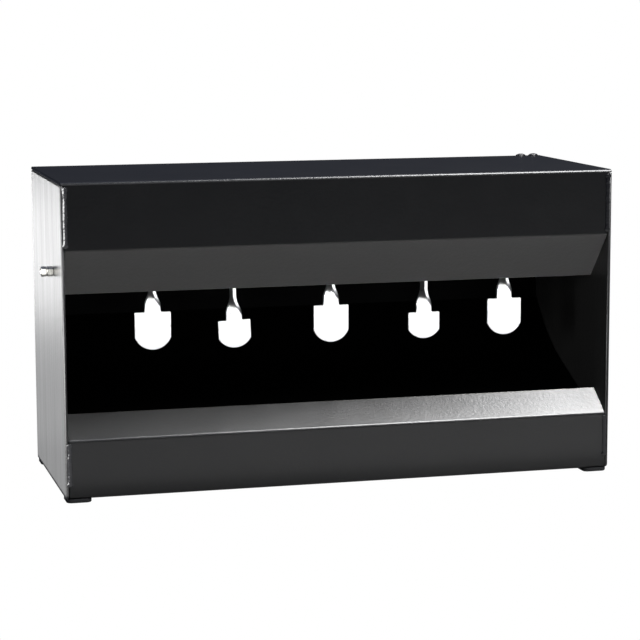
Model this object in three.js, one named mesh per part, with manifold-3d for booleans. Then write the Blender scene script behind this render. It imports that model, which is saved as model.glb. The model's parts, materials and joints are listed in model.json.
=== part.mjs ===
// Swinging-paddle target box: a folded and welded sheet steel case that catches pellets, with a
// slanted guard above its mouth, a slanted lip below it, a curved deflector inside, and five steel
// paddles that hang from one cross rod and swing when they are struck.
//
// Millimetres. +X is the box's right, -Y its open front, +Z up. The origin is the middle of the
// underside's rectangle, on the surface that the feet stand on.

import * as THREE from 'three';
import { mergeVertices } from 'three/addons/utils/BufferGeometryUtils.js';
import Module from 'manifold-3d';

const wasm = await Module();
wasm.setup();

// ---------- driving dimensions ----------

const WIDTH = 350; // over the side plates
const DEPTH = 131; // front face to rear face
const HEIGHT = 192; // case only, without its feet
const SHEET = 2; // every case panel
const FOLD = 2.4; // outside radius of the folds
const SEAM = 0.3; // gap between two panels that are welded together

const FOOT = { side: 15.6, height: 2.5, corner: 3.5, soft: 0.8, inset: 0.4 }; // square pads

const FASCIA = 41.2; // height of the upright strip under the lid
const GUARD = { run: 28, drop: 29.6 }; // slanted guard above the mouth
const LOWER_FASCIA = 35.8; // height of the upright strip under the mouth
const LIP = { run: 19.5, rise: 13.2 }; // slanted lip below the mouth

const RAMP_SLOPE = THREE.MathUtils.degToRad(22); // straight part of the deflector
const RAMP_RADIUS = 120; // curved part, up to the rear panel
const RAMP_BEND = { back: 78, up: 57.2 }; // where the straight part turns into the curve
const RAMP_FOOT = 24; // front leg of the deflector, behind the front face

const ROD = { radius: 1.5, back: 36, up: 135 }; // from the front face and the case underside
const ROD_HOLE_PLAY = 0.2; // radial play of the rod in a side plate
const ROD_SHORT = 0.2; // how far each end stays inside its locknut's outer face
const NUT = { flats: 5.5, bore: 1.65, chamfer: 0.4, gap: 0.2, face: 0.1 };
const NUT_THICK = { nut: 3.8, locknut: 3.4 }; // on each end, from the side plate outwards
const TUBE = { radius: 2.5, bore: 1.8 };
const HUNG_PLAY = 0.4; // end play between a paddle's eye and the tubes beside it
const EYE_PLAY = 0.06; // radial play of a paddle's eye on the rod

const PADDLE_THICK = 2;
const PADDLE_CORNER = 0.9; // radius of the plate's square shoulders
const NECK = 10; // width of every paddle's neck and eye
const NECK_ROOT = 3; // how far the neck's strip starts below the shoulders, inside the plate
const TWIST = { length: 16.5, haste: 2.3 }; // quarter turn, quickest just above the shoulders
// centre across the box, plate width, shoulder, end of the straight sides, lowest point, lean
const PADDLES = [
  { name: 'paddle_1', x: -113.9, width: 22.7, shoulder: 107.4, side: 91.5, low: 83.8, lean: 0 },
  { name: 'paddle_2', x: -63.5, width: 20.6, shoulder: 100.3, side: 88.8, low: 82.9, lean: 2 },
  { name: 'paddle_3', x: 0.5, width: 22.7, shoulder: 107.4, side: 91.5, low: 83.8, lean: 0 },
  { name: 'paddle_4', x: 62, width: 20.6, shoulder: 100.5, side: 89.3, low: 83.6, lean: 0 },
  { name: 'paddle_5', x: 116.2, width: 22.7, shoulder: 107.4, side: 91.5, low: 83.8, lean: 0 },
];

const BEAD = { width: 2.8, proud: 0.8 }; // weld beads along the upright corners
const BEAD_MIDDLE = WIDTH / 2 - SHEET - 0.7; // their centre line across the box
const BEAD_STOP = { fold: 1.5, lid: 0.5, base: 7.5, rearLid: 6 }; // gaps at the beads' ends
const TACK = { radius: 2.2, proud: 1.5, length: 7 }; // weld build-up on the lid's rear edge
const TACK_PLACES = { weld_lid_inner: 160.5, weld_lid_outer: 169.5 };

// fineness of the round stretches
const STEPS = { fold: 8, curve: 12, bead: 6, tack: 8, corner: 3, arc: 16, twist: 30, foot: 4 };
const SIDES = { rodHole: 24, tube: 24, eye: 32, nutFace: 48 };

const OVERCUT = 1; // how far a cutter passes the faces that it cuts through
const WELD_DISTANCE = 1e-4; // vertices closer than this are one
const SHALLOW = 0.02; // half the turn, in radians, below which a corner needs no rounding

// ---------- places worked out from them ----------

const FRONT = -DEPTH / 2;
const BACK = DEPTH / 2;
const BASE = FOOT.height; // case underside
const TOP = BASE + HEIGHT;
const INSIDE = WIDTH / 2 - SHEET; // inner face of a side plate
const PANEL = 2 * (INSIDE - SEAM); // length of the panels that fit between the side plates
const rodY = FRONT + ROD.back;
const rodZ = BASE + ROD.up;

// ---------- finishes ----------

const finish = (color, roughness, metalness) =>
  new THREE.MeshStandardMaterial({ color, roughness, metalness });

const blackPaint = finish(0x17181b, 0.32, 0.0);
const blackWeld = finish(0x1b1c20, 0.25, 0.0);
const brightSteel = finish(0xe6e8ea, 0.25, 1.0);
const zinc = finish(0xb9b8b0, 0.35, 1.0);
const dullSteel = finish(0x8d8f92, 0.45, 1.0);
const rubber = finish(0x0c0c0d, 0.85, 0.0);

const box = new THREE.Group();

const place = (name, geometry, material, position = [0, 0, 0]) => {
  const mesh = new THREE.Mesh(geometry, material);
  mesh.name = name;
  mesh.position.set(...position);
  box.add(mesh);
  return mesh;
};

// ---------- solids ----------

// A closed geometry as a solid that can be joined and cut.
const solid = (geometry) => {
  const bare = geometry.clone();
  bare.deleteAttribute('normal');
  bare.deleteAttribute('uv');
  const merged = mergeVertices(bare, WELD_DISTANCE);
  return new wasm.Manifold(new wasm.Mesh({
    numProp: 3,
    vertProperties: new Float32Array(merged.attributes.position.array),
    triVerts: new Uint32Array(merged.index.array),
  }));
};

const geometryOf = (manifold) => {
  const mesh = manifold.getMesh();
  const geometry = new THREE.BufferGeometry();
  geometry.setAttribute('position', new THREE.BufferAttribute(mesh.vertProperties, 3));
  geometry.setIndex(new THREE.BufferAttribute(mesh.triVerts, 1));
  return geometry;
};

// An outline in the Y-Z plane, made into a solid of the given length centred on X = 0.
const acrossBox = (outline, length) => {
  const shape = new THREE.Shape(outline);
  const geometry = new THREE.ExtrudeGeometry(shape, { depth: length, bevelEnabled: false });
  geometry.translate(0, 0, -length / 2);
  // shape x runs along Y, shape y along Z, and the depth along X
  geometry.applyMatrix4(new THREE.Matrix4().makeBasis(
    new THREE.Vector3(0, 1, 0), new THREE.Vector3(0, 0, 1), new THREE.Vector3(1, 0, 0)));
  return geometry;
};

// A cylinder lying along X, whose flats stay outside the given radius when it cuts a hole.
const rodAlongX = (radius, length, sides = 32) => {
  const geometry = new THREE.CylinderGeometry(radius, radius, length, sides);
  geometry.rotateZ(Math.PI / 2);
  return geometry;
};
const holeRadius = (clear, sides) => clear / Math.cos(Math.PI / sides);

// The outline of a sheet of the given thickness that follows a path of points. The path is the
// sheet's outer face, and the thickness lies to its left. Corners are rounded: the outside of a
// fold has the radius `fold`, and its inside has what the thickness leaves.
const sheetOutline = (path, thick, fold = FOLD, steps = STEPS.fold) => {
  const outer = [];
  const inner = [];
  const left = (a, b) => {
    const d = b.clone().sub(a).normalize();
    return new THREE.Vector2(-d.y, d.x);
  };
  path.forEach((point, i) => {
    const before = i > 0 ? left(path[i - 1], point) : null;
    const after = i < path.length - 1 ? left(point, path[i + 1]) : null;
    if (!before || !after) {
      const n = before ?? after;
      outer.push(point.clone());
      inner.push(point.clone().addScaledVector(n, thick));
      return;
    }
    const turn = Math.atan2(before.cross(after), before.dot(after));
    const half = Math.abs(turn) / 2;
    if (half < SHALLOW || turn < 0) {
      // a shallow joint of the curve, or a fold away from the thickness
      const n = before.clone().add(after).normalize();
      outer.push(point.clone());
      inner.push(point.clone().addScaledVector(n, thick / Math.cos(half)));
      return;
    }
    const middle = before.clone().add(after).normalize();
    const centre = point.clone().addScaledVector(middle, fold / Math.cos(half));
    for (let k = 0; k <= steps; k += 1) {
      const n = before.clone().rotateAround(new THREE.Vector2(), (turn * k) / steps);
      outer.push(centre.clone().addScaledVector(n, -fold));
      inner.push(centre.clone().addScaledVector(n, thick - fold));
    }
  });
  return outer.concat(inner.reverse());
};

const at = (back, up) => new THREE.Vector2(FRONT + back, BASE + up);

// ---------- case ----------

// Lid, upper fascia and guard: one sheet, folded twice. The path runs so that the case's inside
// is on its left.
const guardEnd = at(GUARD.run, HEIGHT - FASCIA - GUARD.drop);
const lidPath = [at(DEPTH, HEIGHT), at(0, HEIGHT), at(0, HEIGHT - FASCIA), guardEnd];
const lidSheet = solid(acrossBox(sheetOutline(lidPath, SHEET), WIDTH));

// Notches at both ends let the side plates stand under the lid and beside the fascia and guard.
const notchDepth = SHEET + SEAM;
const notch = (side) => {
  const geometry = new THREE.BoxGeometry(notchDepth + OVERCUT, DEPTH + 2 * OVERCUT, HEIGHT);
  geometry.translate(
    side * (WIDTH / 2 + OVERCUT / 2 - notchDepth / 2), 0, TOP - SHEET - HEIGHT / 2);
  return solid(geometry);
};
place('top_cover', geometryOf(lidSheet.subtract(notch(-1)).subtract(notch(1))), blackPaint);

// Floor, lower fascia and lip: one sheet, folded twice.
const lipEnd = at(LIP.run, LOWER_FASCIA + LIP.rise);
const trayPath = [lipEnd, at(0, LOWER_FASCIA), at(0, 0), at(DEPTH - SHEET - SEAM, 0)];
place('bottom_tray', acrossBox(sheetOutline(trayPath, SHEET), PANEL), blackPaint);

const rearHeight = HEIGHT - SHEET - SEAM;
place('rear_panel', new THREE.BoxGeometry(PANEL, SHEET, rearHeight), blackPaint,
  [0, BACK - SHEET / 2, BASE + rearHeight / 2]);

// Each side plate has a hole for the cross rod.
const plateHeight = HEIGHT - SHEET - SEAM;
const rodHole = rodAlongX(
  holeRadius(ROD.radius + ROD_HOLE_PLAY, SIDES.rodHole), SHEET + 2 * OVERCUT, SIDES.rodHole);
for (const [name, side] of [['side_plate_left', -1], ['side_plate_right', 1]]) {
  const plate = new THREE.BoxGeometry(SHEET, DEPTH, plateHeight);
  const x = side * (WIDTH / 2 - SHEET / 2);
  plate.translate(0, 0, BASE + plateHeight / 2);
  const hole = rodHole.clone().translate(0, rodY, rodZ);
  place(name, geometryOf(solid(plate).subtract(solid(hole))), blackPaint, [x, 0, 0]);
}

// Deflector: an upright front leg on the floor, a straight ramp, and a curve up to the rear panel.
const rampAt = (back) => RAMP_BEND.up - (RAMP_BEND.back - back) * Math.tan(RAMP_SLOPE);
const rampPath = [at(RAMP_FOOT, SHEET + SEAM), at(RAMP_FOOT, rampAt(RAMP_FOOT))];
const curveEnd = Math.asin( // slope at which the sheet's underside reaches the rear panel
  (DEPTH - SHEET - SEAM - RAMP_BEND.back + RAMP_RADIUS * Math.sin(RAMP_SLOPE))
  / (RAMP_RADIUS + SHEET));
for (let k = 0; k <= STEPS.curve; k += 1) {
  const slope = RAMP_SLOPE + ((curveEnd - RAMP_SLOPE) * k) / STEPS.curve;
  rampPath.push(at(
    RAMP_BEND.back + RAMP_RADIUS * (Math.sin(slope) - Math.sin(RAMP_SLOPE)),
    RAMP_BEND.up + RAMP_RADIUS * (Math.cos(RAMP_SLOPE) - Math.cos(slope))));
}
rampPath.reverse();
place('deflector', acrossBox(sheetOutline(rampPath, SHEET), PANEL), blackPaint);

// ---------- welds ----------

// Half of an ellipse, with its flat side on the first axis.
const halfRound = (reach, proud, steps) => {
  const outline = [];
  for (let k = 0; k <= steps; k += 1) {
    const angle = (Math.PI * k) / steps;
    outline.push(new THREE.Vector2(reach * Math.cos(angle), proud * Math.sin(angle)));
  }
  return outline;
};

// A half-round bead that runs up a corner, with its flat side on the panel.
const uprightBead = (length, facing) => {
  const outline = halfRound(BEAD.width / 2, facing * BEAD.proud, STEPS.bead);
  return new THREE.ExtrudeGeometry(
    new THREE.Shape(outline), { depth: length, bevelEnabled: false });
};

const beadEnds = {
  weld_front_upper: [HEIGHT - FASCIA + BEAD_STOP.fold, HEIGHT - FOLD - BEAD_STOP.lid, -1],
  weld_front_lower: [BEAD_STOP.base, LOWER_FASCIA - BEAD_STOP.fold, -1],
  weld_rear: [BEAD_STOP.base, HEIGHT - FOLD - BEAD_STOP.rearLid, 1],
};
for (const [stem, [low, high, facing]] of Object.entries(beadEnds)) {
  for (const [word, side] of [['left', -1], ['right', 1]]) {
    place(`${stem}_${word}`, uprightBead(high - low, facing), blackWeld,
      [side * BEAD_MIDDLE, facing < 0 ? FRONT : BACK, BASE + low]);
  }
}

// Two short runs of weld stand up from the lid's rear edge, near its right corner.
const tackOutline = halfRound(TACK.radius, TACK.proud, STEPS.tack);
for (const [name, x] of Object.entries(TACK_PLACES)) {
  place(name, acrossBox(tackOutline, TACK.length), blackWeld, [x, BACK - TACK.radius, TOP]);
}

// ---------- cross rod ----------

const nutStack = 2 * NUT.gap + NUT_THICK.nut + NUT_THICK.locknut;
const rodLength = WIDTH + 2 * (nutStack - ROD_SHORT);
place('cross_rod', rodAlongX(ROD.radius, rodLength), zinc, [0, rodY, rodZ]);

// Hexagon nut along X, with the corners of both faces chamfered by a turned outline.
const nutGeometry = (thick) => {
  const corner = NUT.flats / Math.sqrt(3);
  const face = NUT.flats / 2 - NUT.face;
  const clear = corner + NUT.face;
  const turned = new THREE.LatheGeometry([
    new THREE.Vector2(0, -thick / 2),
    new THREE.Vector2(face, -thick / 2),
    new THREE.Vector2(clear, -thick / 2 + NUT.chamfer),
    new THREE.Vector2(clear, thick / 2 - NUT.chamfer),
    new THREE.Vector2(face, thick / 2),
    new THREE.Vector2(0, thick / 2),
  ], SIDES.nutFace);
  turned.rotateZ(Math.PI / 2);
  const bore = rodAlongX(
    holeRadius(NUT.bore, SIDES.rodHole), thick + 2 * OVERCUT, SIDES.rodHole);
  return geometryOf(
    solid(rodAlongX(corner, thick, 6)).intersect(solid(turned)).subtract(solid(bore)));
};
const nutTurn = { nut: 2, locknut: -4 }; // degrees from standing with one flat to the front
for (const [word, side] of [['left', -1], ['right', 1]]) {
  let out = WIDTH / 2;
  for (const [kind, thick] of Object.entries(NUT_THICK)) {
    out += NUT.gap + thick / 2;
    const nut = place(`${kind}_${word}`, nutGeometry(thick), zinc, [side * out, rodY, rodZ]);
    nut.rotation.x = THREE.MathUtils.degToRad(nutTurn[kind]);
    out += thick / 2;
  }
}

// Tubes on the rod fill the stretches between the side plates and the paddles.
const tubeGeometry = (length) => {
  const tube = rodAlongX(TUBE.radius, length, SIDES.tube);
  const bore = rodAlongX(TUBE.bore, length + 2 * OVERCUT, SIDES.tube);
  return geometryOf(solid(tube).subtract(solid(bore)));
};
const stops = [-INSIDE, ...PADDLES.map((paddle) => paddle.x), INSIDE];
for (let i = 0; i < stops.length - 1; i += 1) {
  const eyeHalf = PADDLE_THICK / 2 + HUNG_PLAY;
  const start = stops[i] + (i === 0 ? SEAM : eyeHalf);
  const end = stops[i + 1] - (i === stops.length - 2 ? SEAM : eyeHalf);
  place(`spacer_tube_${i + 1}`, tubeGeometry(end - start), dullSteel,
    [(start + end) / 2, rodY, rodZ]);
}

// ---------- paddles ----------

// The plate: square shoulders, straight sides and an arc along the bottom. Drawn with x across and
// y up, about the paddle's own centre line.
const plateSolid = (paddle) => {
  const half = paddle.width / 2;
  const sag = paddle.side - paddle.low;
  const radius = (half * half + sag * sag) / (2 * sag);
  const spread = Math.asin(half / radius);
  const outline = [];
  for (const [side, from] of [[1, 0], [-1, Math.PI / 2]]) {
    for (let k = 0; k <= STEPS.corner; k += 1) {
      const angle = from + ((Math.PI / 2) * k) / STEPS.corner;
      outline.push(new THREE.Vector2(
        side * (half - PADDLE_CORNER) + PADDLE_CORNER * Math.cos(angle),
        BASE + paddle.shoulder - PADDLE_CORNER + PADDLE_CORNER * Math.sin(angle)));
    }
  }
  for (let k = 0; k <= STEPS.arc; k += 1) {
    const angle = -spread + (2 * spread * k) / STEPS.arc;
    outline.push(new THREE.Vector2(
      radius * Math.sin(angle), BASE + paddle.low + radius * (1 - Math.cos(angle))));
  }
  const geometry = new THREE.ExtrudeGeometry(
    new THREE.Shape(outline), { depth: PADDLE_THICK, bevelEnabled: false });
  geometry.translate(0, 0, -PADDLE_THICK / 2);
  geometry.rotateX(Math.PI / 2);
  return solid(geometry);
};

// The neck: a strip that rises from inside the plate, makes a quarter turn and ends at the rod.
const neckSolid = (paddle) => {
  const start = BASE + paddle.shoulder;
  const rings = [start - NECK_ROOT];
  for (let k = 0; k <= STEPS.twist; k += 1) {
    rings.push(start + (TWIST.length * k) / STEPS.twist);
  }
  rings.push(rodZ);
  const positions = [];
  rings.forEach((z) => {
    const part = THREE.MathUtils.clamp((z - start) / TWIST.length, 0, 1);
    // seen from above the strip turns clockwise as it rises
    const angle = -(Math.PI / 2) * (1 - (1 - part) ** TWIST.haste);
    for (const [u, v] of [[-1, -1], [1, -1], [1, 1], [-1, 1]]) {
      const corner = new THREE.Vector2((u * NECK) / 2, (v * PADDLE_THICK) / 2);
      corner.rotateAround(new THREE.Vector2(), angle);
      positions.push(corner.x, corner.y, z);
    }
  });
  const index = [0, 2, 1, 0, 3, 2];
  for (let ring = 0; ring < rings.length - 1; ring += 1) {
    for (let k = 0; k < 4; k += 1) {
      const a = ring * 4 + k;
      const b = ring * 4 + ((k + 1) % 4);
      index.push(a, b, b + 4, a, b + 4, a + 4);
    }
  }
  const last = (rings.length - 1) * 4;
  index.push(last, last + 1, last + 2, last, last + 2, last + 3);
  const geometry = new THREE.BufferGeometry();
  geometry.setAttribute('position', new THREE.Float32BufferAttribute(positions, 3));
  geometry.setIndex(index);
  return solid(geometry);
};

// A lean tips a paddle sideways in its own plane, about the rod.
const leaned = (manifold, lean) => manifold
  .translate([0, 0, -rodZ])
  .rotate([0, -lean, 0])
  .translate([0, 0, rodZ]);

for (const paddle of PADDLES) {
  const strip = plateSolid(paddle).add(neckSolid(paddle));
  const eye = rodAlongX(NECK / 2, PADDLE_THICK, SIDES.eye).translate(0, 0, rodZ);
  const hole = rodAlongX(
    holeRadius(ROD.radius + EYE_PLAY, SIDES.eye), PADDLE_THICK + 2 * OVERCUT, SIDES.eye);
  hole.translate(0, 0, rodZ);
  const piece = leaned(strip, paddle.lean).add(solid(eye)).subtract(solid(hole));
  place(paddle.name, geometryOf(piece), brightSteel, [paddle.x, rodY, 0]);
}

// ---------- feet ----------

// A square rubber pad with round corners, softened all around its lower edge.
const footOutline = (half, corner) => {
  const shape = new THREE.Shape();
  for (const [side, end, from] of [[1, 1, 0], [-1, 1, 1], [-1, -1, 2], [1, -1, 3]]) {
    const [x, y] = [side * (half - corner), end * (half - corner)];
    shape.absarc(x, y, corner, (from * Math.PI) / 2, ((from + 1) * Math.PI) / 2, false);
  }
  shape.closePath();
  return shape.extractPoints(STEPS.foot).shape;
};
const footSolid = () => {
  const half = FOOT.side / 2;
  const rings = [[half - FOOT.soft, FOOT.corner - FOOT.soft, 0], [half, FOOT.corner, FOOT.soft],
    [half, FOOT.corner, FOOT.height]];
  const outlines = rings.map(([reach, corner]) => footOutline(reach, corner));
  const count = outlines[0].length;
  const positions = outlines.flatMap((outline, ring) => outline.flatMap(
    (point) => [point.x, point.y, rings[ring][2]]));
  const last = (rings.length - 1) * count;
  const index = [];
  for (let k = 0; k < count; k += 1) {
    const next = (k + 1) % count;
    for (let ring = 0; ring < rings.length - 1; ring += 1) {
      const [a, b] = [ring * count + k, ring * count + next];
      index.push(a, b, b + count, a, b + count, a + count);
    }
    if (k > 0 && k < count - 1) {
      index.push(0, next, k, last, last + k, last + next);
    }
  }
  const geometry = new THREE.BufferGeometry();
  geometry.setAttribute('position', new THREE.Float32BufferAttribute(positions, 3));
  geometry.setIndex(index);
  return geometry;
};
const footX = WIDTH / 2 - FOOT.inset - FOOT.side / 2;
const footY = DEPTH / 2 - FOOT.inset - FOOT.side / 2;
for (const [end, y] of [['front', -footY], ['rear', footY]]) {
  for (const [word, x] of [['left', -footX], ['right', footX]]) {
    place(`foot_${end}_${word}`, footSolid(), rubber, [x, y, 0]);
  }
}

export default box;
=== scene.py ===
"""A black powder-coated steel target box with five bright paddles hung on a cross rod.

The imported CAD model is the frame. Each shown piece is built here from the CAD node's own box and
joints, and rides on the same body. Metres, +Z up, the box's open front towards -Y.
"""

import json
import math
import random

import bmesh
import bpy
from mathutils import Matrix, Vector, noise


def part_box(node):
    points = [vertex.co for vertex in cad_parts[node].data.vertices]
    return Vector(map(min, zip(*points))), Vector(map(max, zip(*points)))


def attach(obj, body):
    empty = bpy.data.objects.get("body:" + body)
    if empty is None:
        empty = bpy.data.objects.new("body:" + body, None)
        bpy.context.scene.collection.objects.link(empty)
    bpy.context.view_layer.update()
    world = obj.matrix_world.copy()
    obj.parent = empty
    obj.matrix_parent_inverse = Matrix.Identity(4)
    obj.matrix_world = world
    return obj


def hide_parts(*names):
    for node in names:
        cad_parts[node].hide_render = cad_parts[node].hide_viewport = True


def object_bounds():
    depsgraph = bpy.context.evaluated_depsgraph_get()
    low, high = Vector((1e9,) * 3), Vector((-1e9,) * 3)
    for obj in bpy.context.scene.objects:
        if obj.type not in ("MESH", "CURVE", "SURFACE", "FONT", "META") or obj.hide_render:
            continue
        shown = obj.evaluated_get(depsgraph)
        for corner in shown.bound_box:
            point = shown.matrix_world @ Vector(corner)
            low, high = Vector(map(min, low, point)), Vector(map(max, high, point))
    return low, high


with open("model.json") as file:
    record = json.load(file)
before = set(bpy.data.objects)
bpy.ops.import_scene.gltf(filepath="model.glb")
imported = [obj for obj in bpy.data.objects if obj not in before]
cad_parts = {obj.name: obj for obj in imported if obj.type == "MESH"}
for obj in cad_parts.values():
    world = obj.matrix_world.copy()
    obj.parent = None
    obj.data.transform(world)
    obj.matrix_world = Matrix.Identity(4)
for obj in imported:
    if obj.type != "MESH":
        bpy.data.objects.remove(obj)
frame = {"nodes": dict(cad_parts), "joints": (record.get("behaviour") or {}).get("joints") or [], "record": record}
cad_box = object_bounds()
NODES = frame["nodes"]
MM = 0.001

# ---------- camera and light ----------

CAMERA = {
    "azimuth": -14.75,
    "elevation": 8.4,
    "roll": -0.19,
    "distance": 1.350,
    "lens": 123.4,
    "aim": (-0.0161, 0.1060),  # across the box and above the floor, on the box's front face
}


def make_camera():
    """The viewpoint: well off to the box's left and a little above its lid."""
    case_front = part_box("side_plate_left")[0].y
    aim = Vector((CAMERA["aim"][0], case_front, CAMERA["aim"][1]))
    a, e = math.radians(CAMERA["azimuth"]), math.radians(CAMERA["elevation"])
    back = Vector((math.sin(a) * math.cos(e), -math.cos(a) * math.cos(e), math.sin(e)))
    camera = bpy.data.objects.new("camera", bpy.data.cameras.new("camera"))
    bpy.context.scene.collection.objects.link(camera)
    camera.data.lens = CAMERA["lens"]
    camera.data.sensor_width = 36
    camera.data.clip_start, camera.data.clip_end = 0.01, 1000
    turn = (-back).to_track_quat("-Z", "Y").to_matrix()
    turn = turn @ Matrix.Rotation(math.radians(CAMERA["roll"]), 3, "Z")
    camera.matrix_world = Matrix.Translation(aim + back * CAMERA["distance"]) @ turn.to_4x4()
    bpy.context.scene.camera = camera


def softbox(name, place, aim, size, radiance, only=None, unblocked=False):
    """A soft light of size (width, height) at place, facing aim, that the camera doesn't see.

    With only, a list of pieces, flags in front of it keep its light to those pieces. An unblocked
    light casts no shadows.
    """
    light = bpy.data.lights.new(name, "AREA")
    light.shape = "RECTANGLE"
    light.size, light.size_y = size
    light.energy = radiance * math.pi * size[0] * size[1]
    holder = bpy.data.objects.new(name, light)
    bpy.context.scene.collection.objects.link(holder)
    holder.location = place
    holder.rotation_mode = "QUATERNION"
    holder.rotation_quaternion = (Vector(aim) - Vector(place)).to_track_quat("-Z", "Y")
    holder.visible_camera = False
    if only:
        flagged = bpy.data.collections.new(f"{name}_lights")
        for piece in only:
            flagged.objects.link(piece)
        holder.light_linking.receiver_collection = flagged
    light.use_shadow = not unblocked
    # reflected rays can't be unblocked, so such a light does without them
    light.cycles.use_multiple_importance_sampling = not unblocked


def seen_white(tree, lit, target):
    """Sends lit to target, but shows the camera plain white paper instead."""
    path = tree.nodes.new("ShaderNodeLightPath")
    paper = tree.nodes.new("ShaderNodeEmission")
    paper.inputs["Strength"].default_value = 1.0
    mix = tree.nodes.new("ShaderNodeMixShader")
    tree.links.new(path.outputs["Is Camera Ray"], mix.inputs["Fac"])
    tree.links.new(lit, mix.inputs[1])
    tree.links.new(paper.outputs["Emission"], mix.inputs[2])
    tree.links.new(mix.outputs["Shader"], target)


ROOM = {"horizon": 0.05, "overhead": 0.45, "low": 0.35, "high": 0.9}


def make_world():
    """A studio that is dim around the horizon and bright overhead, behind white paper."""
    world = bpy.data.worlds.new("room")
    bpy.context.scene.world = world
    world.use_nodes = True
    tree = world.node_tree
    tree.nodes.clear()
    where = tree.nodes.new("ShaderNodeTexCoord")
    split = tree.nodes.new("ShaderNodeSeparateXYZ")
    height = tree.nodes.new("ShaderNodeMapRange")
    height.interpolation_type = "SMOOTHSTEP"
    height.inputs["From Min"].default_value = ROOM["low"]
    height.inputs["From Max"].default_value = ROOM["high"]
    height.inputs["To Min"].default_value = ROOM["horizon"]
    height.inputs["To Max"].default_value = ROOM["overhead"]
    sky = tree.nodes.new("ShaderNodeBackground")
    sky.inputs["Color"].default_value = (0.62, 0.70, 1.0, 1)
    out = tree.nodes.new("ShaderNodeOutputWorld")
    tree.links.new(where.outputs["Generated"], split.inputs["Vector"])
    tree.links.new(split.outputs["Z"], height.inputs["Value"])
    tree.links.new(height.outputs["Result"], sky.inputs["Strength"])
    seen_white(tree, sky.outputs["Background"], out.inputs["Surface"])


def make_floor():
    """A pale plain floor that reaches past the horizon."""
    reach = 400
    mesh = bpy.data.meshes.new("floor")
    mesh.from_pydata(
        [(-reach, -reach, 0), (reach, -reach, 0), (reach, reach, 0), (-reach, reach, 0)],
        [],
        [(0, 1, 2, 3)],
    )
    floor = bpy.data.objects.new("floor", mesh)
    bpy.context.scene.collection.objects.link(floor)
    material = bpy.data.materials.new("floor")
    material.use_nodes = True
    tree = material.node_tree
    shader = tree.nodes["Principled BSDF"]
    shader.inputs["Base Color"].default_value = (0.27, 0.27, 0.265, 1)
    shader.inputs["Roughness"].default_value = 0.9
    shader.inputs["Specular IOR Level"].default_value = 0.1
    seen_white(tree, shader.outputs["BSDF"], tree.nodes["Material Output"].inputs["Surface"])
    mesh.materials.append(material)


def make_lights(panels, left_welds, hardware, paddles):
    """The studio: soft boxes over and beside the box, and boards and cards on the floor."""
    low, high = cad_box
    left, front, top = low[0], low[1], high[2]
    softbox("overhead", (0.45, front - 0.22, 1.05), (0.2, front, top), (0.34, 0.50), 36)
    softbox("room_front", (0.1, front - 1.3, 1.0), (0, front, 0.1), (1.2, 0.6), 0.8)

    # wide strip beside the left front corner, mirrored in its weld, its edge and the nuts
    corner = [panels["side_plate_left"], *left_welds, *hardware]
    softbox("left", (left - 0.75, front - 0.35, 0.28), (left, front, 0.1), (1.9, 0.6), 16, corner)

    # strip over the right end, mirrored in the slanted lip
    tray = [panels["bottom_tray"]]
    softbox("lip", (0.70, 0.17, 1.05), (0.70, 0.17, 0), (0.40, 0.40), 26, tray, unblocked=True)
    softbox("apron", (0.05, front - 0.25, 0.004), (0.05, front - 0.25, 1), (1, 0.45), 0.5, tray)

    # board under the mouth, mirrored in the slanted guard
    cover = [panels["top_cover"]]
    softbox("guard", (0.05, 0, 0.004), (0.05, 0, 1), (0.9, 0.5), 0.62, cover, unblocked=True)

    # boards that lie on the floor behind the left end, mirrored in the left side plate
    side = [panels["side_plate_left"]]
    for name, near, far, radiance in (("near", -0.3, 0.9, 1.0), ("far", 0.7, 2.6, 5.2)):
        middle = (near + far) / 2
        x = left - 0.26 * middle - 0.05
        softbox(
            f"board_{name}", (x, middle, 0.004), (x, middle, 1), (0.7, far - near), radiance, side
        )

    # small box in front of the left end, for the right wall's inner face
    wall = [panels["side_plate_right"]]
    softbox("wall", (-0.9, front - 0.5, 0.2), (high[0], front, 0.1), (0.4, 0.3), 22, wall)

    # cards low in front, for the bright metal only
    metal = [*paddles, *hardware]
    softbox("card_front", (0.30, front - 1.1, 0.10), (0, front, 0.1), (1.9, 0.5), 3.7, metal)
    place = (-0.80, front - 0.35, 0.12)
    softbox("card_left", place, (0, front, 0.1), (1.8, 0.5), 1.9, paddles, unblocked=True)


# ---------- materials ----------


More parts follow.
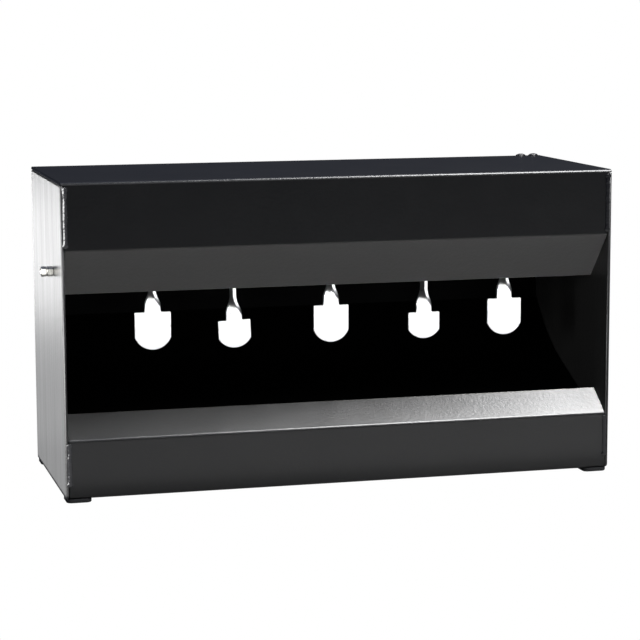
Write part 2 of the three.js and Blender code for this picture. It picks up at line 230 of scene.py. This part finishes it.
class Graph:
    """A small helper that adds nodes and links to one material."""

    def __init__(self, name):
        self.material = bpy.data.materials.new(name)
        self.material.use_nodes = True
        self.tree = self.material.node_tree
        self.shader = self.tree.nodes["Principled BSDF"]
        self.where = self.add("ShaderNodeTexCoord").outputs["Object"]

    def add(self, kind):
        return self.tree.nodes.new(kind)

    def link(self, source, target):
        self.tree.links.new(source, target)

    def stretched(self, scale):
        """The object's coordinates multiplied by scale, in cells for each metre."""
        mapping = self.add("ShaderNodeMapping")
        mapping.inputs["Scale"].default_value = scale
        self.link(self.where, mapping.inputs["Vector"])
        return mapping.outputs["Vector"]

    def noise(self, scale, detail=2.0, roughness=0.5):
        """Noise with that many cells for each metre; scale is a number or a vector."""
        vector = scale if hasattr(scale, "__len__") else (scale, scale, scale)
        texture = self.add("ShaderNodeTexNoise")
        texture.inputs["Scale"].default_value = 1.0
        texture.inputs["Detail"].default_value = detail
        texture.inputs["Roughness"].default_value = roughness
        self.link(self.stretched(vector), texture.inputs["Vector"])
        return texture.outputs["Fac"]

    def spread(self, value, low, high):
        """A noise value, which mostly lies in 0.3..0.7, mapped to low..high."""
        node = self.add("ShaderNodeMapRange")
        node.inputs["From Min"].default_value = 0.3
        node.inputs["From Max"].default_value = 0.7
        node.inputs["To Min"].default_value = low
        node.inputs["To Max"].default_value = high
        self.link(value, node.inputs["Value"])
        return node.outputs["Result"]

    def blend(self, value, first, second):
        """The colour between first and second, by value."""
        node = self.add("ShaderNodeMix")
        node.data_type = "RGBA"
        for socket in node.inputs:
            if socket.type == "RGBA":
                socket.default_value = (*(first if socket.name == "A" else second), 1)
        self.link(value, node.inputs["Factor"])
        return next(s for s in node.outputs if s.type == "RGBA")

    def bump(self, height, depth, after=None):
        """A bump whose full height is depth metres, on top of another bump if given."""
        node = self.add("ShaderNodeBump")
        node.inputs["Strength"].default_value = 1.0
        node.inputs["Distance"].default_value = depth
        self.link(height, node.inputs["Height"])
        if after is not None:
            self.link(after, node.inputs["Normal"])
        return node.outputs["Normal"]

    def set(self, socket, source):
        """Links source to the shader's socket, or sets it there if it is a number or a colour."""
        if hasattr(source, "links"):
            self.link(source, self.shader.inputs[socket])
        elif hasattr(source, "__len__"):
            self.shader.inputs[socket].default_value = (*source, 1)
        else:
            self.shader.inputs[socket].default_value = source
        return self


def powder_coat(name, streaks=False, colour=1.0, shine=1.0):
    """Black powder coat: a near-black grey, with the fine dimpling of baked powder.

    colour scales the paint's own colour and shine its reflection; turned down, both paint shade into the coat.
    """
    g = Graph(name)
    cloud = g.noise(22, detail=4)
    peel = g.noise(430, detail=2)
    grit = g.noise(2300, detail=1)
    dark = tuple(colour * c for c in (0.0058, 0.0058, 0.0058))
    pale = tuple(colour * c for c in (0.0092, 0.0092, 0.0089))
    g.set("Base Color", g.blend(cloud, dark, pale))
    g.set("IOR", 1.5)
    g.set("Specular IOR Level", 0.5 * shine)
    rough = g.spread(g.noise(60, detail=5), 0.28, 0.32)
    normal = g.bump(peel, 0.00009)
    normal = g.bump(grit, 0.000008, after=normal)
    if streaks:
        lines = g.noise((170, 170, 9), detail=4, roughness=0.6)
        rough = g.spread(lines, 0.33, 0.40)
        normal = g.bump(lines, 0.000008, after=normal)
    g.set("Roughness", rough).set("Normal", normal)
    return g.material


def weld_coat(name):
    """The same coat over a weld, flowed thicker and glossier, with small runs and pits."""
    g = Graph(name)
    lumps = g.noise(700, detail=3)
    g.set("Base Color", g.blend(lumps, (0.010, 0.010, 0.011), (0.018, 0.018, 0.019)))
    g.set("IOR", 1.6)
    g.set("Roughness", g.spread(g.noise(900), 0.12, 0.26))
    g.set("Normal", g.bump(lumps, 0.00010))
    return g.material


def bright_steel(name):
    """Bright plated sheet steel with a faint rolled grain and a few handling marks."""
    g = Graph(name)
    grain = g.noise((2600, 2600, 90), detail=3)
    marks = g.noise(340, detail=4, roughness=0.65)
    g.set("Metallic", 1.0)
    g.set("Base Color", g.blend(marks, (0.93, 0.935, 0.94), (0.97, 0.97, 0.965)))
    g.set("Roughness", g.spread(marks, 0.27, 0.30))
    g.set("Normal", g.bump(grain, 0.0000015))
    return g.material


def zinc(name):
    """Zinc plating with a slightly warm, mottled passivation."""
    g = Graph(name)
    mottle = g.noise(900, detail=4, roughness=0.6)
    colour = (0.66, 0.65, 0.60)
    darker = tuple(0.86 * c for c in colour)
    g.set("Metallic", 1.0)
    g.set("Base Color", g.blend(mottle, darker, colour))
    g.set("Roughness", g.spread(mottle, 0.22, 0.38))
    g.set("Normal", g.bump(g.noise(2400, detail=1), 0.000006))
    return g.material


def drawn_tube(name):
    """Dull drawn steel tube, with draw lines along its length and a little tarnish."""
    g = Graph(name)
    lines = g.noise((60, 4200, 4200), detail=2)
    tarnish = g.noise(150, detail=4)
    g.set("Metallic", 1.0)
    g.set("Base Color", g.blend(tarnish, (0.36, 0.36, 0.36), (0.52, 0.53, 0.54)))
    g.set("Roughness", g.spread(lines, 0.34, 0.5))
    g.set("Normal", g.bump(lines, 0.000006))
    return g.material


def rubber(name):
    """Black moulded rubber, finely pitted and a little dusty."""
    g = Graph(name)
    dust = g.noise(190, detail=5, roughness=0.6)
    g.set("Base Color", g.blend(dust, (0.010, 0.010, 0.011), (0.022, 0.022, 0.022)))
    g.set("Roughness", g.spread(dust, 0.48, 0.66))
    g.set("Normal", g.bump(g.noise(2600, detail=2), 0.00002))
    return g.material


# ---------- mesh helpers ----------


def piece_from(name, bm, body, material, node):
    """Turns bm into a shown piece that rides on body and stands for the CAD node."""
    mesh = bpy.data.meshes.new(name)
    bm.normal_update()
    bm.to_mesh(mesh)
    bm.free()
    mesh.materials.append(material)
    mesh.shade_smooth()
    obj = bpy.data.objects.new(name, mesh)
    bpy.context.scene.collection.objects.link(obj)
    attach(obj, body)
    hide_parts(node)
    return obj


def soften(obj, width):
    """Rounds the edges that mark_edges() chose, and keeps the flat faces flat in shading."""
    bevel = obj.modifiers.new("edges", "BEVEL")
    bevel.width = width
    bevel.segments = 4
    bevel.limit_method = "WEIGHT"
    bevel.use_clamp_overlap = False
    weighted = obj.modifiers.new("shading", "WEIGHTED_NORMAL")
    weighted.keep_sharp = True
    weighted.weight = 100


SHARP = math.radians(28)  # an outside edge sharper than this is a cut edge
NOTCH = 1.0  # radians: an inside edge sharper than this is the corner of a notch


def mark_edges(bm):
    """Chooses the sharp outside edges, apart from those that end in an inside corner."""
    bm.normal_update()
    chosen = bm.edges.layers.float.new("bevel_weight_edge")
    inside = {
        v for e in bm.edges if not e.is_convex and e.calc_face_angle() > NOTCH for v in e.verts
    }
    for e in bm.edges:
        sharp = e.is_convex and e.calc_face_angle() > SHARP
        e[chosen] = 1.0 if sharp and not inside.intersection(e.verts) else 0.0


def cad_copy(node):
    """The CAD node's mesh with its flat faces in one piece each."""
    bm = bmesh.new()
    bm.from_mesh(NODES[node].data)
    bmesh.ops.remove_doubles(bm, verts=bm.verts, dist=1e-6)
    bmesh.ops.dissolve_limit(
        bm, angle_limit=math.radians(0.5), verts=bm.verts, edges=bm.edges, delimit=set()
    )
    return bm


def rings_mesh(rings, closed_ends=True):
    """A bmesh through rings of points, each with the same count, joined in order.

    Without closed_ends the last ring joins the first, so the rings go round a hole.
    """
    bm = bmesh.new()
    made = [[bm.verts.new(point) for point in ring] for ring in rings]
    count = len(rings[0])
    for lower, upper in zip(made, made[1:]):
        for k in range(count):
            n = (k + 1) % count
            bm.faces.new((lower[k], lower[n], upper[n], upper[k]))
    if closed_ends:
        bm.faces.new(list(reversed(made[0])))
        bm.faces.new(made[-1])
    else:
        for k in range(count):
            n = (k + 1) % count
            bm.faces.new((made[-1][k], made[-1][n], made[0][n], made[0][k]))
    bmesh.ops.recalc_face_normals(bm, faces=bm.faces)
    return bm


def turned(profile, centre, segments):
    """A closed profile of (along X, radius) points turned about the X axis through centre."""
    rings = []
    for along, radius in profile:
        ring = []
        for k in range(segments):
            angle = math.tau * k / segments
            ring.append(
                Vector(
                    (
                        centre.x + along,
                        centre.y + radius * math.cos(angle),
                        centre.z + radius * math.sin(angle),
                    )
                )
            )
        rings.append(ring)
    return rings_mesh(rings, closed_ends=False)


def arc(centre, radius, start, end, steps):
    """Points on an arc, from start to end in radians."""
    points = []
    for k in range(steps + 1):
        angle = start + (end - start) * k / steps
        points.append((centre[0] + radius * math.cos(angle), centre[1] + radius * math.sin(angle)))
    return points


def sheet_blank(loops, thick, edge, heights=()):
    """A solid sheet in the X-Z plane, thick along Y, with its rims rounded by edge.

    The first loop is the outline and the others are holes. heights are levels to cut it across at.
    """
    bm = bmesh.new()
    for loop in loops:
        verts = [bm.verts.new((x, 0, z)) for x, z in loop]
        for a, b in zip(verts, verts[1:] + verts[:1]):
            bm.edges.new((a, b))
    bmesh.ops.triangle_fill(bm, edges=bm.edges[:], use_beauty=True)
    for height in heights:
        bmesh.ops.bisect_plane(
            bm,
            geom=bm.verts[:] + bm.edges[:] + bm.faces[:],
            plane_co=(0, 0, height),
            plane_no=(0, 0, 1),
            dist=1e-7,
        )
    bmesh.ops.recalc_face_normals(bm, faces=bm.faces)
    if sum(f.normal.y for f in bm.faces) > 0:
        bmesh.ops.reverse_faces(bm, faces=bm.faces[:])
    made = bmesh.ops.extrude_face_region(bm, geom=bm.faces[:])
    moved = [v for v in made["geom"] if isinstance(v, bmesh.types.BMVert)]
    bmesh.ops.translate(bm, verts=moved, vec=(0, -thick, 0))
    bmesh.ops.translate(bm, verts=bm.verts, vec=(0, thick / 2, 0))
    bmesh.ops.recalc_face_normals(bm, faces=bm.faces)
    rim = [
        e
        for e in bm.edges
        if len(e.link_faces) == 2
        and e.calc_face_angle() > math.radians(60)
        and abs(e.verts[0].co.y - e.verts[1].co.y) < 1e-6
    ]
    bmesh.ops.bevel(bm, geom=rim, offset=edge, segments=3, profile=0.6, affect="EDGES")
    return bm


# ---------- case ----------

# how far each sheet's cut edges are rounded by filing and by the build-up of powder
EDGE = {
    "top_cover": 0.6 * MM,
    "bottom_tray": 0.35 * MM,
    "rear_panel": 0.4 * MM,
    "deflector": 0.35 * MM,
    "side_plate": 0.8 * MM,
}
CORNER = 2.5 * MM  # radius of the side plates' lower corners
NEAR_ROD = 5 * MM  # the only CAD vertices this close to the rod's axis are on its hole


def side_plate_blank(node):
    """A flat side plate with a hole for the rod and its two lower corners rounded."""
    low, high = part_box(node)
    rod_low, rod_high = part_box("cross_rod")
    rod = ((rod_low.y + rod_high.y) / 2, (rod_low.z + rod_high.z) / 2)
    away = [math.dist((v.co.y, v.co.z), rod) for v in NODES[node].data.vertices]
    hole = max(reach for reach in away if reach < NEAR_ROD)
    rear, bottom = high.y - CORNER, low.z + CORNER
    outline = arc((low.y + CORNER, bottom), CORNER, -math.pi, -math.pi / 2, 8)
    outline += arc((rear, bottom), CORNER, -math.pi / 2, 0, 8)
    outline += [(high.y, high.z), (low.y, high.z)]
    thick = high.x - low.x
    loops = [outline, arc(rod, hole, 0, math.tau, 32)[:-1]]
    bm = sheet_blank(loops, thick, EDGE["side_plate"])
    middle = Matrix.Translation(((low.x + high.x) / 2, 0, 0))
    bm.transform(middle @ Matrix.Rotation(math.pi / 2, 4, "Z"))
    return bm


def make_panels(coat, streaked, inside):
    """The folded and flat sheets, each with its cut edges eased."""
    made = {}
    for node in ("top_cover", "bottom_tray", "rear_panel", "deflector"):
        bm = cad_copy(node)
        mark_edges(bm)
        # the sheets inside the box take a darker, duller copy of the coat: painted shade
        material = inside if node in ("rear_panel", "deflector") else coat
        made[node] = piece_from(f"{node}_sheet", bm, "case", material, node)
        soften(made[node], EDGE[node])
    # only the rear panel's front face is inside the box, where the darker coat paints its shade
    rear = made["rear_panel"].data
    rear.materials.append(coat)
    for face in rear.polygons:
        face.material_index = 0 if face.normal.y < -0.5 else 1
    for node in ("side_plate_left", "side_plate_right"):
        bm = side_plate_blank(node)
        made[node] = piece_from(f"{node}_sheet", bm, "case", streaked, node)
        made[node].modifiers.new("shading", "WEIGHTED_NORMAL").weight = 100
    return made


BEAD = {
    "pitch": 2.3 * MM,  # from one ripple to the next
    "step": 0.3 * MM,
    "blob": 1.5 * MM,  # from the bead's end to the middle of its end blob
    "taper": 0.8 * MM,
    "bow": 0.45 * MM,  # how far the ripples' crests bow forward along the bead
    "wander": 0.30 * MM,
    "sides": 12,
}


def weld_bead(name, node, material, seed):
    """An upright bead of overlapping ripples along the CAD strip, with a blob at each end."""
    low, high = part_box(node)
    shift = random.Random(seed).uniform(0, 50)
    length = high.z - low.z
    facing = -1 if (low.y + high.y) < 0 else 1
    flat = low.y if facing > 0 else high.y
    middle = (low.x + high.x) / 2
    half, proud = (high.x - low.x) / 2, abs(high.y - low.y)
    count = int(length / BEAD["step"])
    rings = []
    for i in range(count + 1):
        along = length * i / count
        ripple = (along / BEAD["pitch"]) % 1.0
        swell = 0.93 + 0.035 * math.sin(math.pi * ripple)
        wander = noise.noise(Vector((shift, along * 210, 0)))
        fat = 1 + 0.20 * noise.noise(Vector((shift, along * 260, 7)))
        end = min(along, length - along)
        blob = 1 + 0.42 * math.exp(-(((end - BEAD["blob"]) / MM) ** 2))
        part = max(0.0, min(1.0, end / BEAD["taper"]))
        taper = math.sqrt(part * (2 - part))
        wide = half * swell * fat * blob * max(0.12, taper)
        tall = proud * swell * fat * max(0.1, taper)
        ring = []
        for k in range(BEAD["sides"] + 1):
            angle = math.pi * k / BEAD["sides"]
            bow = BEAD["bow"] * math.sin(angle) * max(0.2, taper)
            x = middle + BEAD["wander"] * wander + wide * math.cos(angle)
            y = flat + facing * tall * math.sin(angle)
            z = low.z + min(length, along + bow)
            ring.append(Vector((x, y, z)))
        ring.append(Vector((middle, flat - facing * 0.05 * MM, low.z + along)))
        rings.append(ring)
    bm = rings_mesh(rings)
    return piece_from(name, bm, "case", material, node)


def weld_tack(name, node, material, seed):
    """A short lump of weld along the lid's rear edge."""
    low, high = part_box(node)
    shift = random.Random(seed).uniform(0, 50)
    centre, size = (low + high) / 2, high - low
    bm = bmesh.new()
    bmesh.ops.create_icosphere(bm, subdivisions=4, radius=1)
    for v in bm.verts:
        lumpy = 1 + 0.10 * noise.noise(v.co * 2.3 + Vector((shift, 0, 0)))
        ridge = 1 + 0.05 * math.sin(v.co.x * 11 + shift)
        x = centre.x + v.co.x * size.x / 2 * lumpy
        y = centre.y + v.co.y * size.y / 2 * lumpy
        z = low.z + max(v.co.z, -0.02) * size.z * 0.94 * ridge
        v.co = Vector((x, y, z))
    return piece_from(name, bm, "case", material, node)


def make_welds(material, lid_material):
    """The corner beads, returned by node, and the two lumps on the lid."""
    upright = [n for n in NODES if n.startswith(("weld_front", "weld_rear"))]
    beads = {}
    for seed, node in enumerate(sorted(upright)):
        beads[node] = weld_bead(f"{node}_bead", node, material, seed)
    for seed, node in enumerate(sorted(n for n in NODES if n.startswith("weld_lid"))):
        weld_tack(f"{node}_lump", node, lid_material, 40 + seed)
    return beads


# ---------- cross rod, nuts and tubes ----------

THREAD = {"pitch": 0.5 * MM, "depth": 0.27 * MM, "length": 12 * MM}


def make_rod(material):
    """The cross rod, with a cut thread at each end and a small chamfer on its tips."""
    low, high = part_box("cross_rod")
    centre = (low + high) / 2
    radius = (high.z - low.z) / 2
    reach = (high.x - low.x) / 2
    segments = 32
    chamfer = 0.45 * MM
    step = THREAD["pitch"] / 8
    count = int(THREAD["length"] / step)
    stations = [-reach + step * i for i in range(count + 1)]
    stations += [-x for x in reversed(stations)]
    rings = []
    for x in stations:
        inward = reach - abs(x)
        ring = []
        for k in range(segments):
            angle = math.tau * k / segments
            turn = (x / THREAD["pitch"] + k / segments) % 1.0
            cut = THREAD["depth"] * (1 - abs(2 * turn - 1)) ** 0.8
            fade = min(1.0, max(0.0, (THREAD["length"] - inward) / (1.0 * MM)))
            r = radius - 0.02 * MM - cut * fade
            r = min(r, radius - chamfer + inward)
            point = (centre.x + x, centre.y + r * math.cos(angle), centre.z + r * math.sin(angle))
            ring.append(Vector(point))
        rings.append(ring)
    bm = rings_mesh(rings)
    return piece_from("cross_rod_threaded", bm, "case", material, "cross_rod")


NUT = {"flats": 5.5 * MM, "bore": 1.62 * MM, "sink": 0.25 * MM, "thread": 0.16 * MM}
NUT_TURNS = {"nut_left": 2, "locknut_left": -4, "nut_right": 2, "locknut_right": -4}  # degrees


def hexagon_nut(name, node, material, turn):
    """A hexagon nut: flats, chamfered corners, and a countersunk threaded bore."""
    low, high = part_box(node)
    centre = (low + high) / 2
    thick = high.x - low.x
    flats, bore, sink = NUT["flats"], NUT["bore"], NUT["sink"]
    segments = 120
    chamfer_start = 0.95 * flats / 2
    outer = [0, 0.06, 0.14, 0.25, 0.4, 0.6, 0.85]
    levels = [v * MM for v in outer] + [thick / 2]
    levels += [thick - v * MM for v in reversed(outer)]
    rings = []

    def ring_at(x, radius_of):
        ring = []
        for k in range(segments):
            angle = math.tau * k / segments
            r = radius_of(angle)
            around = angle + math.radians(turn)
            y = centre.y + r * math.cos(around)
            z = centre.z + r * math.sin(around)
            ring.append(Vector((low.x + x, y, z)))
        return ring

    for x in levels:
        inward = min(x, thick - x)
        cone = chamfer_start + inward / math.tan(math.radians(30))

        def outside(angle, cone=cone):
            from_flat = (angle + math.pi / 6) % (math.pi / 3) - math.pi / 6
            return min(flats / 2 / math.cos(from_flat), cone)

        rings.append(ring_at(x, outside))
    turns = int((thick - 2 * sink) / (THREAD["pitch"] / 6))
    inner = [(thick, bore + sink)]
    for i in range(turns + 1):
        inner.append((thick - sink - (thick - 2 * sink) * i / turns, None))
    inner.append((0, bore + sink))
    for x, radius in inner:
        if radius is None:
            rings.append(
                ring_at(
                    x,
                    lambda angle, x=x: bore
                    + NUT["thread"]
                    * abs(2 * ((x / THREAD["pitch"] + angle / math.tau) % 1.0) - 1),
                )
            )
        else:
            rings.append(ring_at(x, lambda _angle, radius=radius: radius))
    bm = rings_mesh(rings, closed_ends=False)
    nut = piece_from(name, bm, "case", material, node)
    nut.data.set_sharp_from_angle(angle=math.radians(24))
    return nut


def make_nuts(material):
    """Two nuts on each end of the rod, jammed together with their flats nearly in line."""
    return [
        hexagon_nut(f"{node}_hexagon", node, material, turn) for node, turn in NUT_TURNS.items()
    ]


TUBE_WALL = 0.68 * MM


def make_tubes(material):
    """The tubes on the rod, each with chamfered ends."""
    for node in sorted(n for n in NODES if n.startswith("spacer_tube")):
        low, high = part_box(node)
        centre = (low + high) / 2
        half, radius = (high.x - low.x) / 2, (high.z - low.z) / 2
        bore = radius - TUBE_WALL
        cut = 0.18 * MM
        profile = [
            (-half + cut, radius),
            (-half + 0.3 * cut, radius - 0.3 * cut),
            (-half, radius - cut),
            (-half, bore + cut),
            (-half + cut, bore),
            (half - cut, bore),
            (half, bore + cut),
            (half, radius - cut),
            (half - 0.3 * cut, radius - 0.3 * cut),
            (half - cut, radius),
        ]
        bm = turned(profile, centre, 48)
        tube = piece_from(f"{node}_drawn", bm, "case", material, node)
        tube.data.set_sharp_from_angle(angle=math.radians(30))


# ---------- paddles ----------

PADDLE = {
    "thick": 2.0 * MM,
    "neck": 10.0 * MM,
    "corner": 0.6 * MM,
    "fillet": 0.7 * MM,
    "hole": 1.56 * MM,
    "flat_neck": 3.2 * MM,  # from the shoulder to where the twist starts
    "turn_length": 13.3 * MM,
    "turn_haste": 2.3,  # above 1, the twist is quicker where it starts
    "cuts": 42,
    "edge": 0.28 * MM,
}
LEAN = {"paddle_2": 2.0}  # degrees, sideways in the paddle's own plane


def paddle_outline(half, shoulder, side, low):
    """The flat blank's outline before its neck is twisted, anticlockwise from the bottom.

    Its eye is round the origin. The plate is half wide to each side, from shoulder down to side,
    and its rounded bottom reaches low.
    """
    neck, corner, fillet = PADDLE["neck"] / 2, PADDLE["corner"], PADDLE["fillet"]
    sag = side - low
    radius = (half * half + sag * sag) / (2 * sag)
    spread = math.asin(half / radius)
    down = -math.pi / 2
    right = []
    right += arc((0, low + radius), radius, down, down + spread, 24)
    right += arc((half - corner, shoulder - corner), corner, 0, math.pi / 2, 5)
    right += arc((neck + fillet, shoulder + fillet), fillet, down, -math.pi, 4)
    right += arc((0, 0), neck, 0, math.pi / 2, 14)
    left = [(-x, z) for x, z in reversed(right[1:-1])]
    return right + left


def make_paddle(node, joint, material):
    """One stamped paddle with its neck twisted a quarter turn, so that its eye takes the rod."""
    pivot = Vector(joint["pos_m"])
    lean = math.radians(LEAN.get(node, 0.0))
    upright = Matrix.Translation(pivot) @ Matrix.Rotation(-lean, 4, "Y")
    local = [upright.inverted() @ v.co for v in NODES[node].data.vertices]
    half = max(abs(v.x) for v in local)
    low = min(v.z for v in local)
    wide = [v.z for v in local if abs(v.x) > half - 1e-5]
    side = min(wide)
    shoulder = max(v.z for v in local if abs(v.x) > PADDLE["neck"] / 2 + 2 * MM)
    outline = paddle_outline(half, shoulder, side, low)
    hole = arc((0, 0), PADDLE["hole"], 0, math.tau, 40)[:-1]
    first, length = shoulder + PADDLE["flat_neck"], PADDLE["turn_length"]
    heights = [first + length * k / PADDLE["cuts"] for k in range(PADDLE["cuts"] + 1)]
    bm = sheet_blank([outline, hole], PADDLE["thick"], PADDLE["edge"], heights)
    for v in bm.verts:
        part = min(1.0, max(0.0, (v.co.z - first) / length))
        turn = -(math.pi / 2) * (1 - (1 - part) ** PADDLE["turn_haste"])
        v.co = Matrix.Rotation(turn, 3, "Z") @ v.co
    bm.transform(upright)
    paddle = piece_from(f"{node}_stamped", bm, joint["child"], material, node)
    paddle.modifiers.new("shading", "WEIGHTED_NORMAL").weight = 80
    return paddle


def make_paddles(material):
    """One paddle for each body that a joint carries."""
    joints = {joint["child"]: joint for joint in frame["joints"]}
    bodies = frame["record"]["behaviour"]["bodies"]
    return [
        make_paddle(nodes[0], joints[body], material)
        for body, nodes in bodies.items()
        if body in joints
    ]


# ---------- feet ----------


def make_feet(material):
    """Square rubber pads with round corners, soft lower edges and a shallow dished underside."""
    for node in sorted(n for n in NODES if n.startswith("foot_")):
        low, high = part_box(node)
        centre = (low + high) / 2
        half = (high.x - low.x) / 2
        corner = 3.5 * MM
        height = high.z - low.z
        levels = [
            (2.2 * MM, 0.25 * MM),
            (1.6 * MM, 0.0),
            (0.8 * MM, 0.0),
            (0.45 * MM, 0.07 * MM),
            (0.2 * MM, 0.28 * MM),
            (0.05 * MM, 0.55 * MM),
            (0.0, 0.85 * MM),
            (0.0, height - 0.3 * MM),
            (0.15 * MM, height),
        ]
        rings = []
        for inset, z in levels:
            reach, bend = half - inset, max(0.6 * MM, corner - inset)
            ring = []
            for quarter, (sx, sy) in enumerate(((1, 1), (-1, 1), (-1, -1), (1, -1))):
                middle = (sx * (reach - bend), sy * (reach - bend))
                start = quarter * math.pi / 2
                for x, y in arc(middle, bend, start, start + math.pi / 2, 8):
                    ring.append(Vector((centre.x + x, centre.y + y, low.z + z)))
            rings.append(ring)
        bm = rings_mesh(rings)
        foot = piece_from(f"{node}_pad", bm, "case", material, node)
        foot.data.set_sharp_from_angle(angle=math.radians(40))


# ---------- scene ----------

bpy.context.scene.view_settings.view_transform = "Standard"
make_camera()
make_world()
make_floor()

coat = powder_coat("case_paint")
streaked = powder_coat("case_paint_sides", streaks=True)
# painted shade: the coat's colour and reflection turned down for the faces inside the box
inside = powder_coat("case_paint_inside_painted_shade", colour=0.12, shine=0.12)
panels = make_panels(coat, streaked, inside)
beads = make_welds(weld_coat("weld_paint"), coat)
zinc_finish = zinc("zinc_hardware")
hardware = [make_rod(zinc_finish), *make_nuts(zinc_finish)]
make_tubes(drawn_tube("spacer_steel"))
paddles = make_paddles(bright_steel("paddle_steel"))
make_feet(rubber("foot_rubber"))
left_welds = [bead for node, bead in beads.items() if node.endswith("left")]
make_lights(panels, left_welds, hardware, paddles)
